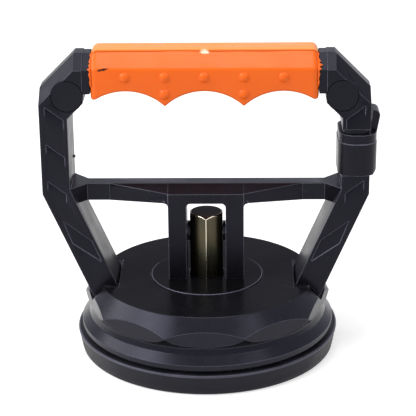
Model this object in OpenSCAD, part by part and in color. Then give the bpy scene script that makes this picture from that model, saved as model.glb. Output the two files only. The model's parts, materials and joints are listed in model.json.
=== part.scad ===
// Lever-operated vacuum suction cup with a D-shaped handle.
//
// The frame is the lever. Its fork straddles a hex stem, and a cross pin joins the two. With the
// frame upright, the cam-shaped fork legs stand on the wear disc and hold the stem and the middle
// of the rubber pad up, which makes the vacuum. Folding the frame back lets the stem down.
//
// Origin: centre of the pad's sealing ring on the surface that it is pressed to. +Z is up, the
// front is -Y, and the frame lies in the XZ plane.

/* [Suction pad] */
// Radius of the sealing ring where it meets the surface
seal_r = 59; // [50:0.5:70]
// How far the flange stands out past the sealing ring
flange_overhang = 1.8; // [0.5:0.1:4]
// Height of the flange's top edge
flange_h = 9.9; // [7:0.1:14]
// Height of the step that carries the housing
pad_step = 1.8; // [1:0.1:4]
// Width of the flat sealing ring
seal_w = 9; // [5:0.5:14]
// Height of the hollow under the locked pad
hollow_h = 3.6; // [1:0.1:3.9]

/* [Housing] */
// Radius of the lip round the foot of the housing
lip_r = 58.8; // [50:0.1:70]
// Height of the housing above the pad's step
housing_h = 21.5; // [18:0.5:30]
// Radius of the flat top
top_r = 49.7; // [44:0.1:56]
// Fall of the skirt per millimetre outwards
skirt_slope = 1.1; // [0.8:0.05:1.3]
// Number of scallops round the skirt
scallops = 10; // [6:1:16]
// Distance from the axis to the top of each scallop's face
scallop_r = 54.2; // [52:0.1:56]
// Inward lean of the scallop faces
scallop_lean = 0.25; // [0.1:0.05:0.4]

/* [Stem and disc] */
// Hex stem across flats
stem_af = 15; // [12:0.5:18]
// Height of the stem's top above the pivot pin
stem_over_pin = 9.5; // [7:0.5:14]
// Radius of the pivot pin
pin_r = 3; // [2:0.25:4]
// Height of the pivot pin above the wear disc
pin_over_disc = 21.2; // [19:0.1:24]
// Distance that the stem drops when the lever is folded down
travel = 2.5; // [1:0.1:3]
// Radius of the wear disc
disc_r = 26; // [22:0.5:30]
// How far the wear disc stands proud of the housing
disc_proud = 0.5; // [0.2:0.1:1.5]
// Thickness of the wear disc
disc_t = 3; // [2:0.5:4]
// Radius of the threaded stud in the pad
stud_r = 6; // [4:0.5:6]
// How far the stud reaches up into the stem
stud_reach = 16.5; // [12:0.5:17]

/* [Lever frame] */
// Overall width over the two arms
frame_w = 147.6; // [140:0.2:156]
// Overall height of the frame above the sealing plane
frame_top = 141; // [136:0.5:150]
// Depth of the arms from front to back
frame_d = 24; // [18:0.5:30]
// Width of an upright arm in the front view
arm_w = 12.6; // [10:0.1:16]
// Size of the slanting corner at each shoulder
corner_cut = 15.9; // [10:0.1:20]
// Depth of the shoulder bevel from front to back
bevel_d = 7.9; // [4:0.1:9]
// Drop of the shoulder bevel, square to the edge
bevel_h = 6.2; // [3:0.1:8]
// Depth of the rear covers, taken from the back of the arms
cover_d = 8; // [6:0.5:9]
// Height of the crossbar's top
rail_top = 79.3; // [76:0.1:84]
// Height of the crossbar's section
rail_h = 8; // [6:0.5:10]
// Depth of the crossbar's section
rail_d = 7.4; // [6:0.2:10]
// Width of the fork over both legs
fork_w = 34.6; // [32:0.2:40]
// Depth of the fork from front to back
fork_d = 18.6; // [17:0.2:24]
// How far the fork's front edge lies under the crossbar's top
fork_drop = 3.5; // [1:0.1:5]
// Width of the slot between the fork legs
slot_w = 18; // [17:0.2:22]

/* [Grip] */
// Length of the orange grip
grip_l = 101; // [96:0.5:104]
// How far the grip stands proud of the frame's section
grip_proud = 1.6; // [1:0.1:3]
// Distance between the finger scallops
finger_pitch = 35; // [32:0.5:36]
// Radius of the finger scallops
finger_r = 25.4; // [24:0.2:30]
// Depth of the grip from its top to the crests of the finger scallops
grip_h = 17.3; // [15:0.1:20]
// Radius that rounds the cusps between the scallops
cusp_r = 1.2; // [0.5:0.1:3]
// Radius of the raised dots at their foot
dot_r = 2.4; // [1.5:0.1:3]
// Height of the raised dots
dot_h = 1; // [0.4:0.1:1.5]

/* [Clip] */
// Height of the clip's collar
collar_h = 19; // [14:0.5:20]
// Wall of the collar
collar_wall = 1.9; // [1.2:0.1:2.5]
// Wall of the collar behind the clip tongue
clip_wall = 0.8; // [0.6:0.1:1.5]
// Height of the clip tongue above its hinge pin
tongue_h = 26.2; // [16:0.1:28]
// Thickness of the clip tongue
tongue_t = 2.4; // [1.8:0.1:3.2]
// Width of the clip tongue
tongue_w = 10; // [6:0.5:12]

/* [Clearances] */
// Gap between pieces that slide or turn past each other
slide_gap = 0.3; // [0.2:0.05:0.5]
// Radial clearance of a pin in its bore
pin_gap = 0.05; // [0.02:0.01:0.1]
// Gap between pieces that are fixed together
fit_gap = 0.1; // [0.05:0.05:0.2]

/* [Hidden] */
$fn = 96;
eps = 0.01;

// Heights of the base
pad_top = flange_h + pad_step;
top_z = pad_top + housing_h;
disc_z = top_z + disc_proud;
pin_z = disc_z + pin_over_disc;
flange_r = seal_r + flange_overhang;
ring_in_r = seal_r - seal_w;

// Pad
pad_rise = 1.3;
pad_core_r = 24;
plate_r = 34;
plate_t = 2.5;
plate_z = hollow_h + 3.1;
pad_mid_z = pad_top + pad_rise;
seat_in_r = lip_r - 11.8;
seat_out_r = lip_r - 1.8;

// Housing
ledge_r = lip_r - 2.1;
ledge_z = pad_top + 6.6;
lip_z = pad_top + 2.2;
brow_z = top_z - skirt_slope * (scallop_r - top_r);
// Ridge where the scallop faces meet in points, and the waist that it hangs over
ridge_share = scallop_lean * skirt_slope;
ridge_r = min(lip_r - 0.8, scallop_r * (1 - ridge_share) / (cos(180 / scallops) - ridge_share));
ridge_z = top_z - skirt_slope * (ridge_r - top_r);
waist_r = ridge_r - 2;
waist_z = ridge_z - 2.1;
roof_t = 5.7;
roof_z = top_z - roof_t;
cavity_r = 37;
boss_r = 17;
boss_h = 3.5;
boss_z = roof_z - boss_h;
rib_t = 2.4;
rib_h = 9;
rib_z = roof_z - rib_h;

// Disc, stem and what is on it
stem_r = stem_af / sqrt(3);
tube_r = 12.5;
tube_h = 6;
tube_z = roof_z - tube_h;
washer_t = 2;
washer_r = 16;
stem_z = pad_mid_z + washer_t;
stem_top = pin_z + stem_over_pin;
spring_wire = 1.7;
spring_turns = 2.5;
spring_r = tube_r - spring_wire / 2 - slide_gap;
shim_r = 4.6;

// Lever: arms
half_w = frame_w / 2;
half_d = frame_d / 2;
arm_in = half_w - arm_w;
cover_y = half_d - cover_d;
arm_x = half_w - arm_w / 2;
block_in = grip_l / 2 + 3.5;
block_z = frame_top - 18.5;
foot_in = top_r - 8.7;
foot_mid = top_r - 2.5;
foot_out = top_r + 2.6;
foot_z = top_z - 1.1;
toe_z = top_z - 6.4;
elbow_z = rail_top - 2.3;
elbow_in_z = rail_top - 0.4;
foot_reach = norm([half_d, pin_z - foot_z]);
toe_reach = norm([half_d, pin_z - toe_z]);
foot_reserve = 12;
swing_gap = travel * 0.58 + slide_gap;
side_gap = 0.6;

// Inner and outer edge of the right leg at height z
function leg_in(z) = foot_in + (arm_in - foot_in) * (z - foot_z) / (elbow_in_z - foot_z);
function leg_out(z) = foot_out + (half_w - foot_out) * (z - toe_z) / (elbow_z - toe_z);

// Recesses on the front of the arms: distance in from the outer edge, and heights
hatch_in = 2.6;
hatch_top_z = frame_top - 22.8;
hatch_low_z = rail_top + 3.9;
leg_hatch_z = elbow_z - 13.1;

// Lever: fork
cam_base = pin_over_disc - slide_gap;
cam_fall = travel / (PI / 2);
rail_low = rail_top - rail_h;
fork_top = rail_top - fork_drop;
web_end = arm_in - 17.2;

// Lever: screws
plug_r = 6.8;
plug_x = block_in + plug_r + 0.2;
plug_z = frame_top - 18;
plug_t = 2;
plug_screw_r = 4.2;
plug_screw_t = 2.8;
screw_r = 2;
head_r = 3.6;
head_t = 2.4;
recess_w = 0.8;
recess_t = 1.2;

// Clip on the right arm
neck_z = rail_top + 6.3;
neck_h = collar_h + 2.6;
neck_w = arm_w - 0.8;
neck_d = frame_d - 1.6;
slot_x = arm_x + neck_w / 2 + fit_gap + clip_wall;
clip_x = slot_x + slide_gap + tongue_t / 2;
collar_left = arm_x - neck_w / 2 - fit_gap - collar_wall;
collar_right = clip_x + tongue_t / 2 + fit_gap;
collar_w = collar_right - collar_left;
collar_d = neck_d + 2 * (collar_wall + fit_gap);
collar_x = (collar_left + collar_right) / 2;
collar_r = 7.5;
collar_z = neck_z + fit_gap;
clip_z = collar_z + 2.4;
clip_pin_r = 0.8;
lug_t = 1.8;
rim_h = 4.2;
rim_step = 0.35;

// Screws of the rear covers: above and below the clip, and low on the leg
leg_screw_z = elbow_z - 30;
cover_screws_at = [
    [arm_x, neck_z + neck_h + 4.8],
    [arm_x, neck_z - 5.6],
    [(leg_in(leg_screw_z) + leg_out(leg_screw_z)) / 2, leg_screw_z]
];

// Grip section
grip_top = frame_top + grip_proud;
finger_crest = grip_top - grip_h;
scallop_z = finger_crest - finger_r;
dot_z = finger_crest + 6.5;
dot_drop = 7.7;
core_wall = 2.5;
core_d = frame_d - 2 * core_wall;
core_z = finger_crest + 1.7;
core_flat = 4;
core_drop = 1;
core_end_z = block_z + 1.5;
tenon_z = block_z + 4.5;
tenon_h = 7;
tenon_l = 7;
tenon_w = 10;

// ---------------------------------------------------------------- helpers

// Tube between two radii, standing on z
module ring(outer, inner, z, h) {
    translate([0, 0, z]) difference() {
        cylinder(r = outer, h = h);
        translate([0, 0, -1]) cylinder(r = inner, h = h + 2);
    }
}

// Hex prism with a corner towards the front
module hex(af, z, h) {
    translate([0, 0, z]) rotate(30) cylinder(r = af / sqrt(3), h = h, $fn = 6);
}

// Flat rounded rectangle with true round corners
module rounded_rect(w, d, r) {
    square([w - 2 * r, d], center = true);
    square([w, d - 2 * r], center = true);
    for (x = [-1, 1], y = [-1, 1])
        translate([x * (w / 2 - r), y * (d / 2 - r)]) circle(r = r);
}

// Extrudes a front view (x, z) from y0 to y1
module from_front(y0, y1) {
    translate([0, y1, 0]) rotate([90, 0, 0]) linear_extrude(height = y1 - y0) children();
}

// Extrudes a side view (y, z) from x0 to x1
module from_side(x0, x1) {
    translate([x0, 0, 0]) rotate([90, 0, 90]) linear_extrude(height = x1 - x0) children();
}

// The child and its mirror image in the XZ plane
module both_faces() {
    children();
    mirror([0, 1, 0]) children();
}

// The child and its mirror image in the YZ plane
module both_sides() {
    children();
    mirror([1, 0, 0]) children();
}

// Cylinder along Y from y0 to y1 at (x, z)
module along_y(x, z, r, y0, y1) {
    translate([x, y1, z]) rotate([90, 0, 0]) cylinder(r = r, h = y1 - y0);
}

// Cylinder along X, centred on the pivot
module on_pivot(r, x0, x1) {
    translate([x0, 0, pin_z]) rotate([0, 90, 0]) cylinder(r = r, h = x1 - x0);
}

// ---------------------------------------------------------------- base

// Height of the hollow's roof under the pad: a shallow dome
function dome(r) = hollow_h * (1 - pow(r / ring_in_r, 2));

module suction_pad() {
    steps = 8;
    under = [for (i = [0:steps]) let (r = ring_in_r * i / steps) [r, dome(r)]];
    color([0.1, 0.1, 0.11]) difference() {
        rotate_extrude() polygon(concat(under, [
            [seal_r, 0],
            [flange_r, flange_h],
            [seat_out_r, flange_h],
            [seat_out_r, pad_top],
            [seat_in_r, pad_top],
            [pad_core_r, pad_mid_z],
            [0, pad_mid_z]
        ]));
        translate([0, 0, plate_z]) cylinder(r = plate_r + slide_gap, h = plate_t);
        translate([0, 0, plate_z]) cylinder(r = stud_r + slide_gap, h = 20);
    }
}

// Cut that leaves one leaning scallop face at the front
module scallop_cut() {
    reach = housing_h * 0.56;
    from_side(-lip_r, lip_r) polygon([
        [-scallop_r + scallop_lean * reach, brow_z - reach],
        [-scallop_r - scallop_lean * reach, brow_z + reach],
        [-lip_r * 2, brow_z + reach],
        [-lip_r * 2, brow_z - reach]
    ]);
}

// Room that the swinging feet of the arms need, as a solid of revolution about the pivot
module foot_swing(gap, side, x_in, x_out) {
    fall = (half_w - foot_out) / (elbow_z - toe_z);
    drop = 11;
    translate([0, 0, pin_z]) rotate([0, 90, 0]) rotate_extrude() polygon([
        [0, x_in],
        [foot_reach + gap, x_in],
        [foot_reach + gap, foot_mid],
        [toe_reach + gap, foot_out],
        [toe_reach + gap, foot_out + side],
        [toe_reach + gap - drop, foot_out + side + drop * fall],
        [toe_reach + gap - drop, x_out],
        [0, x_out]
    ]);
}

// The foot's own turned form, carried on past its toe
module foot_form() {
    beyond = 2 * (foot_out - foot_mid);
    translate([0, 0, pin_z]) rotate([0, 90, 0]) rotate_extrude() polygon([
        [0, 0],
        [foot_reach, 0],
        [foot_reach, foot_mid],
        [toe_reach + 2 * (toe_reach - foot_reach), foot_out + beyond],
        [0, foot_out + beyond]
    ]);
}

module housing() {
    color([0.13, 0.13, 0.14]) difference() {
        union() {
            // Scalloped upper body, undercut below its ridge
            difference() {
                rotate_extrude() polygon([
                    [0, waist_z],
                    [waist_r, waist_z],
                    [ridge_r, ridge_z],
                    [top_r, top_z],
                    [0, top_z]
                ]);
                for (i = [0:scallops - 1]) rotate(i * 360 / scallops) scallop_cut();
            }
            // Steep band under it, down to the lip
            rotate_extrude() polygon([
                [0, pad_top],
                [lip_r - 0.8, pad_top],
                [lip_r, pad_top + 0.8],
                [lip_r, lip_z],
                [ledge_r, ledge_z],
                [waist_r, waist_z],
                [0, waist_z]
            ]);
        }
        // Hollow underneath, with the boss and the ribs left standing
        difference() {
            rotate_extrude() polygon([
                [0, pad_top - 1],
                [seat_in_r, pad_top - 1],
                [seat_in_r, pad_top + 1.5],
                [cavity_r + 1.5, roof_z - 2],
                [cavity_r, roof_z],
                [0, roof_z]
            ]);
            translate([0, 0, boss_z]) cylinder(r = boss_r, h = 20);
            for (i = [0:scallops - 1]) rotate((i + 0.5) * 360 / scallops)
                translate([boss_r - 1, -rib_t / 2, rib_z]) cube([seat_in_r, rib_t, 20]);
        }
        translate([0, 0, boss_z - 1]) cylinder(r = tube_r + fit_gap, h = 30);
        translate([0, 0, disc_z - disc_t]) cylinder(r = disc_r + fit_gap, h = 10);
        both_sides() foot_swing(swing_gap, side_gap, foot_in - side_gap, half_w);
    }
}

module wear_disc() {
    color([0.08, 0.08, 0.09]) difference() {
        union() {
            translate([0, 0, disc_z - disc_t]) cylinder(r = disc_r, h = disc_t);
            translate([0, 0, tube_z]) cylinder(r = tube_r, h = disc_z - disc_t - tube_z + eps);
        }
        hex(stem_af + 2 * slide_gap, tube_z - 1, 40);
    }
}

module disc_ring() {
    color([0.7, 0.7, 0.72]) ring(tube_r + 2.5, tube_r, boss_z - 1.2, 1.2);
}

// Coil spring round the stem between the washer and the disc's tube
module return_spring() {
    sides = 8;
    per_turn = 20;
    low = stem_z + spring_wire / 2 + 0.05;
    high = tube_z - spring_wire / 2 - 0.05;
    count = spring_turns * per_turn;
    points = [for (i = [0:count], j = [0:sides - 1])
        let (a = 360 * i / per_turn, b = 360 * j / sides,
             r = spring_r + spring_wire / 2 * cos(b),
             z = low + (high - low) * i / count + spring_wire / 2 * sin(b))
        [r * cos(a), r * sin(a), z]];
    walls = [for (i = [0:count - 1], j = [0:sides - 1])
        let (k = (j + 1) % sides)
        [i * sides + j, (i + 1) * sides + j, (i + 1) * sides + k, i * sides + k]];
    caps = [[for (j = [0:sides - 1]) j], [for (j = [sides - 1:-1:0]) count * sides + j]];
    color([0.7, 0.7, 0.72]) polyhedron(points = points, faces = concat(walls, caps));
}

// ---------------------------------------------------------------- stem

module pad_plate() {
    color([0.62, 0.63, 0.65]) translate([0, 0, plate_z]) cylinder(r = plate_r, h = plate_t);
}

module pad_stud() {
    color([0.7, 0.7, 0.68])
        translate([0, 0, plate_z + plate_t])
            cylinder(r = stud_r, h = stem_z + stud_reach - plate_z - plate_t);
}

module stem_washer() {
    color([0.7, 0.7, 0.72]) ring(washer_r, stud_r + fit_gap, pad_mid_z, washer_t);
}

module hex_stem() {
    chamfer = stem_r - stem_af / 2;
    color([0.62, 0.56, 0.36]) difference() {
        intersection() {
            hex(stem_af, stem_z, stem_top - stem_z);
            translate([0, 0, stem_z]) union() {
                cylinder(r = stem_r + 1, h = stem_top - stem_z - 2);
                translate([0, 0, stem_top - stem_z - 2])
                    cylinder(r1 = stem_af / 2 + 2, r2 = stem_af / 2 - chamfer / 4, h = 2);
            }
        }
        translate([0, 0, stem_z - 1]) cylinder(r = stud_r + fit_gap, h = stud_reach + 3.5);
        on_pivot(pin_r + fit_gap, -stem_af, stem_af);
    }
}

module pivot_pin() {
    color([0.75, 0.75, 0.76]) on_pivot(pin_r, -fork_w / 2, fork_w / 2);
}

// Spacer between the stem and one fork leg, for the side that sign names
module shim(sign) {
    room = (slot_w - stem_af) / 2;
    t = room - 2 * fit_gap - 0.1;
    x = sign * (stem_af / 2 + fit_gap + t / 2);
    color([0.2, 0.2, 0.21]) translate([x, 0, 0]) difference() {
        on_pivot(shim_r, -t / 2, t / 2);
        on_pivot(pin_r + fit_gap, -t, t);
    }
}

module shim_left() {
    shim(-1);
}

module shim_right() {
    shim(1);
}

// ---------------------------------------------------------------- lever frame

// Front view of the right arm: shoulder block, upright and slanting leg
module arm_outline() {
    heel_z = foot_z - foot_reserve;
    polygon([
        [block_in, frame_top],
        [half_w - corner_cut, frame_top],
        [half_w, frame_top - corner_cut],
        [half_w, elbow_z],
        [leg_out(heel_z), heel_z],
        [foot_in, heel_z],
        [foot_in, foot_z],
        [arm_in, elbow_in_z],
        [arm_in, block_z - 9.9],
        [block_in, block_z - 2.7],
        [block_in, block_z]
    ]);
}

// Bevel along a shoulder edge that the local X axis follows, with its depth and its drop
module bevel_cut(depth, drop) {
    from_side(-30, 30) polygon([
        [depth - half_d, 0],
        [-half_d - 1, -drop * (depth + 1) / depth],
        [-half_d - 1, 5],
        [depth - half_d, 5]
    ]);
}

// Slanting wedge recess on the front face of an upright; (x, z) is its outer top corner
module hatch(x, z) {
    w = 8.2;
    slope = 37;
    depth = 0.9;
    tall = 3.7;
    intersection() {
        translate([x - w, -half_d - 1, z - 20]) cube([w, 4, 30]);
        translate([x, 0, z]) rotate([0, -slope, 0]) translate([-20, 0, 0]) from_side(0, 30)
            polygon([[-half_d - 0.5, 0], [-half_d + depth, 0], [-half_d, -tall], [-half_d - 0.5, -tall]]);
    }
}

// Larger recess on the front face of the slanting leg
module leg_hatch() {
    depth = 0.9;
    top = leg_hatch_z;
    intersection() {
        from_front(-half_d - 1, -half_d + 3) polygon([
            [leg_out(top) - 3.2, top],
            [leg_in(top - 9.5) + 1.8, top - 9.5],
            [leg_in(top - 20.1) + 1.8, top - 20.1],
            [leg_out(top - 10.9) - 2.5, top - 10.9]
        ]);
        translate([leg_out(top) - 3.2, 0, top])
            rotate([0, -37, 0]) translate([-25, 0, 0]) from_side(0, 30)
            polygon([[-half_d - 0.5, 0], [-half_d + depth, 0], [-half_d, -12], [-half_d - 0.5, -12]]);
    }
}

// Whole right arm, solid from front to back, before it is split into shell and cover
module arm_solid() {
    difference() {
        from_front(-half_d, half_d) arm_outline();
        both_faces() {
            translate([block_in, 0, frame_top]) bevel_cut(bevel_d, bevel_h);
            translate([half_w - corner_cut / 2, 0, frame_top - corner_cut / 2])
                rotate([0, 45, 0]) bevel_cut(bevel_d - 0.3, bevel_h / sqrt(2));
        }
        for (z = [hatch_top_z, hatch_low_z]) hatch(half_w - hatch_in, z);
        leg_hatch();
        // Rounded foot that swings clear of the housing
        difference() {
            translate([foot_in - 10, -half_d - 1, foot_z - foot_reserve - 1])
                cube([25, frame_d + 2, foot_reserve + 9]);
            foot_form();
        }
        // Pocket for the end of the grip core
        translate([block_in - 1, -tenon_w / 2 - fit_gap, tenon_z - fit_gap])
            cube([tenon_l + 1 + fit_gap, tenon_w + 2 * fit_gap, tenon_h + 2 * fit_gap]);
        // Screw and plug at the shoulder
        along_y(plug_x, plug_z, plug_r + fit_gap, -half_d - 1, -half_d + plug_t);
        along_y(plug_x, plug_z, plug_screw_r + 0.3, -half_d - 1, -half_d + plug_t + plug_screw_t + 0.2);
        along_y(plug_x, plug_z, screw_r + fit_gap, -half_d - 1, half_d - 2);
        // Cover screws with their counterbores at the back
        for (p = cover_screws_at) {
            along_y(p[0], p[1], screw_r + fit_gap, -half_d + 5, half_d + 1);
            along_y(p[0], p[1], head_r + fit_gap, half_d - head_t - 1, half_d + 1);
        }
    }
}

// Everything outside the reduced neck that carries the clip
module neck_cut() {
    translate([arm_x, 0, neck_z]) difference() {
        translate([-arm_w, -half_d - 1, 0]) cube([2 * arm_w, frame_d + 2, neck_h]);
        translate([0, 0, -1]) linear_extrude(height = neck_h + 2) rounded_rect(neck_w, neck_d, 4);
    }
}

module arm_right() {
    difference() {
        arm_solid();
        neck_cut();
    }
}

module arm_left() {
    mirror([1, 0, 0]) difference() {
        arm_solid();
        hatch(half_w - hatch_in, (hatch_top_z + hatch_low_z) / 2);
    }
}

// Keeps what lies in front of the covers (front = true) or behind them
module split(front) {
    y0 = front ? -50 : cover_y;
    intersection() {
        children();
        translate([-100, y0, 0]) cube([200, front ? cover_y + 50 : 50, 200]);
    }
}

// Cam face at the back: its reach below the pivot falls evenly as the frame folds back by a
function cam_point(a) =
    let (p = cam_base - cam_fall * a * PI / 180)
    [p * sin(a) - cam_fall * cos(a), -p * cos(a) - cam_fall * sin(a)];

// Side view of the fork, heights from the pivot: flat foot in front, cam at the back
module fork_outline() {
    first = atan(cam_fall / cam_base);
    steps = 6;
    half = fork_d / 2;
    top = rail_top - pin_z;
    edge = fork_top - pin_z;
    last = asin((half - fit_gap + cam_fall) / cam_base);
    cam = [for (i = [0:steps]) cam_point(first + (last - first) * i / steps)];
    end = cam_point(last);
    polygon(concat(
        [[-half, edge], [-half, cam[0][1]]],
        cam,
        [[half, end[1] + half - end[0]], [half, edge]],
        [[rail_d / 2, top], [-rail_d / 2, top]]
    ));
}

module fork() {
    fillet = 2;
    difference() {
        translate([0, 0, pin_z]) from_side(-fork_w / 2, fork_w / 2) fork_outline();
        // Slot between the legs, with rounded upper corners
        from_front(-50, 50) {
            translate([-slot_w / 2, 0]) square([slot_w, rail_low - fillet]);
            translate([-slot_w / 2 + fillet, 0]) square([slot_w - 2 * fillet, rail_low]);
            for (x = [-1, 1]) translate([x * (slot_w / 2 - fillet), rail_low - fillet])
                circle(r = fillet);
        }
        on_pivot(pin_r + pin_gap, -fork_w, fork_w);
    }
}

// Thin slice across the crossbar at x, for lofting: flat below, sloping to the rail's top edges
module web_slice(x, depth, edge) {
    from_side(x, x + eps) polygon([
        [-depth / 2, rail_low],
        [depth / 2, rail_low],
        [depth / 2, edge],
        [rail_d / 2, rail_top],
        [-rail_d / 2, rail_top],
        [-depth / 2, edge]
    ]);
}

module crossbar() {
    gusset = 7;
    fillet = 2;
    translate([-arm_in - 1, -rail_d / 2, rail_low])
        cube([2 * arm_in + 2, rail_d, rail_h]);
    both_sides() {
        // Web that flares from the rail to the fork
        hull() {
            web_slice(web_end, rail_d + 0.2, rail_top - 1);
            web_slice(fork_w / 2 - 1, fork_d - 0.4, fork_top);
        }
        // Gusset that spreads the rail to the depth of the arm
        translate([0, 0, rail_low]) linear_extrude(height = rail_h) polygon([
            [arm_in - gusset, -rail_d / 2],
            [arm_in, 1 - half_d],
            [arm_in + 1, 1 - half_d],
            [arm_in + 1, half_d - 1],
            [arm_in, half_d - 1],
            [arm_in - gusset, rail_d / 2]
        ]);
        // Fillet where the web meets the leg
        from_front(-fork_d / 2 + 0.5, fork_d / 2 - 0.5) difference() {
            translate([fork_w / 2 - 1, rail_low - fillet]) square([fillet + 1, fillet + 1]);
            translate([fork_w / 2 + fillet, rail_low - fillet]) circle(r = fillet);
        }
    }
}

module frame_front() {
    color([0.14, 0.14, 0.15]) {
        split(true) arm_right();
        split(true) arm_left();
        difference() {
            crossbar();
            both_sides() {
                translate([arm_in + 1, -50, 0]) cube([50, 100, 200]);
                from_front(cover_y, 50) arm_outline();
            }
            from_front(-50, 50) translate([-slot_w / 2 + 2, 0])
                square([slot_w - 4, rail_low]);
        }
        fork();
    }
}

module rear_cover_left() {
    color([0.12, 0.12, 0.13]) split(false) arm_left();
}

module rear_cover_right() {
    color([0.12, 0.12, 0.13]) split(false) arm_right();
}

// ---------------------------------------------------------------- grip

// Side view of the handle section: flat top, bevelled shoulders, straight sides
module handle_section(proud, low) {
    flat = half_d - bevel_d + proud;
    polygon([
        [-flat, frame_top + proud],
        [-half_d - proud / 2, frame_top - bevel_h + proud / 2],
        [-half_d - proud / 2, low],
        [half_d + proud / 2, low],
        [half_d + proud / 2, frame_top - bevel_h + proud / 2],
        [flat, frame_top + proud]
    ]);
}

module core_section() {
    polygon([
        [-core_flat, frame_top - core_drop],
        [-core_d / 2, frame_top - bevel_h - core_drop],
        [-core_d / 2, core_z],
        [core_d / 2, core_z],
        [core_d / 2, frame_top - bevel_h - core_drop],
        [core_flat, frame_top - core_drop]
    ]);
}

module grip_core() {
    color([0.1, 0.1, 0.11]) {
        from_side(-block_in + 1, block_in - 1) core_section();
        both_sides() {
            from_side(grip_l / 2 + 2 * fit_gap, block_in) handle_section(-slide_gap, core_end_z);
            translate([block_in - 1, -tenon_w / 2, tenon_z]) cube([tenon_l + 1, tenon_w, tenon_h]);
        }
    }
}

// Raised dot on the front face of the grip at (x, z)
module dot(x, z) {
    ball = (pow(dot_r, 2) + pow(dot_h, 2)) / (2 * dot_h);
    translate([x, ball - dot_h - half_d - grip_proud / 2, z]) sphere(r = ball);
}

// Rounds the cusp between two finger scallops with a cylinder that touches both
module cusp_cut() {
    middle = sqrt(pow(finger_r + cusp_r, 2) - pow(finger_pitch / 2, 2));
    share = cusp_r / (finger_r + cusp_r);
    half = share * finger_pitch / 2;
    from_front(-frame_d, frame_d) translate([finger_pitch / 2, scallop_z]) difference() {
        translate([-half, middle - 2 * cusp_r - 1]) square([2 * half, 2 * cusp_r + 1 - share * middle]);
        translate([0, middle]) circle(r = cusp_r);
    }
}

module grip_sleeve() {
    low = scallop_z + sqrt(pow(finger_r, 2) - pow(finger_pitch / 2, 2)) - 2;
    color([0.95, 0.42, 0.13]) difference() {
        union() {
            from_side(-grip_l / 2, grip_l / 2) handle_section(grip_proud, low);
            both_faces() {
                for (i = [-2:2]) dot(i * finger_pitch / 2, dot_z);
                for (i = [-1, 1]) dot(i * finger_pitch / 2, dot_z - dot_drop);
            }
        }
        from_side(-grip_l, grip_l) core_section();
        for (i = [-1:1])
            along_y(i * finger_pitch, scallop_z, finger_r, -frame_d, frame_d);
        both_sides() cusp_cut();
    }
}

// ---------------------------------------------------------------- screws and plugs

module corner_screws() {
    y_head = -half_d + plug_t;
    color([0.7, 0.7, 0.72]) both_sides() {
        along_y(plug_x, plug_z, plug_screw_r, y_head + 0.2, y_head + 0.2 + plug_screw_t);
        along_y(plug_x, plug_z, screw_r, y_head + 2, half_d - 2.5);
    }
}

module corner_plug_right() {
    color([0.14, 0.14, 0.15]) along_y(plug_x, plug_z, plug_r, -half_d, -half_d + plug_t);
}

module corner_plug_left() {
    mirror([1, 0, 0]) corner_plug_right();
}

// Countersunk screws of the rear covers, each with a cross recess
module cover_screws() {
    face = half_d - 1;
    color([0.7, 0.7, 0.72]) both_sides() for (p = cover_screws_at) difference() {
        union() {
            along_y(p[0], p[1], head_r, face - head_t, face);
            along_y(p[0], p[1], screw_r, 6 - half_d, face - 1);
        }
        for (turn = [0, 90]) translate([p[0], face - recess_t, p[1]]) rotate([0, turn, 0])
            translate([-recess_w / 2, 0, 1 - head_r]) cube([recess_w, 2, 2 * head_r - 2]);
    }
}

// ---------------------------------------------------------------- clip

// Collar round the arm's neck. Its thick outer wall has a slot that holds the tongue's foot
module clip_collar() {
    slot_y = tongue_w / 2 + slide_gap;
    chamfer = 1.8;
    color([0.12, 0.12, 0.13]) difference() {
        union() {
            translate([collar_x, 0, collar_z]) linear_extrude(height = collar_h - rim_h)
                rounded_rect(collar_w, collar_d, collar_r);
            translate([collar_x, 0, collar_z]) linear_extrude(height = collar_h)
                rounded_rect(collar_w - 2 * rim_step, collar_d - 2 * rim_step, collar_r - rim_step);
        }
        translate([arm_x, 0, collar_z - 1]) linear_extrude(height = collar_h + 2)
            rounded_rect(neck_w + 2 * fit_gap, neck_d + 2 * fit_gap, 4 + fit_gap);
        // Slot for the tongue
        translate([slot_x, -slot_y, clip_z - tongue_t / 2 - slide_gap])
            cube([tongue_t * 3, 2 * slot_y, collar_h + 2]);
        // Chamfer under the slot
        from_front(-half_d * 2, half_d * 2) polygon([
            [collar_right - chamfer, collar_z - eps],
            [collar_right + 1, collar_z - eps],
            [collar_right + 1, collar_z + chamfer + 1]
        ]);
        along_y(clip_x, clip_z, clip_pin_r + fit_gap / 2, -slot_y - lug_t, slot_y + lug_t);
    }
}

module clip_pin() {
    half = tongue_w / 2 + slide_gap + lug_t - fit_gap;
    color([0.75, 0.75, 0.76]) along_y(clip_x, clip_z, clip_pin_r, -half, half);
}

// Tongue with a round foot on the pin, straight inside the collar and leaning out above it
module clip_tongue() {
    inner = clip_x - tongue_t / 2;
    outer = clip_x + tongue_t / 2;
    top = clip_z + tongue_h;
    head_r = 2.6;
    color([0.12, 0.12, 0.13]) difference() {
        from_front(-tongue_w / 2, tongue_w / 2) {
            translate([clip_x, clip_z]) circle(r = tongue_t / 2);
            polygon(concat([
                [inner, clip_z],
                [outer, clip_z],
                [outer, collar_z + collar_h - 1]
            ], [for (a = [0:18:90])
                [outer + 1.4 - head_r * (1 - cos(a)), top - head_r * (1 - sin(a))]
            ], [
                [inner + 0.6, top + 0.1],
                [inner, collar_z + collar_h]
            ]));
        }
        along_y(clip_x, clip_z, clip_pin_r + pin_gap, -half_d, half_d);
    }
}

suction_pad();
housing();
wear_disc();
disc_ring();
return_spring();
pad_plate();
pad_stud();
stem_washer();
hex_stem();
pivot_pin();
shim_left();
shim_right();
frame_front();
rear_cover_left();
rear_cover_right();
grip_core();
grip_sleeve();
corner_screws();
corner_plug_left();
corner_plug_right();
cover_screws();
clip_collar();
clip_pin();
clip_tongue();
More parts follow.
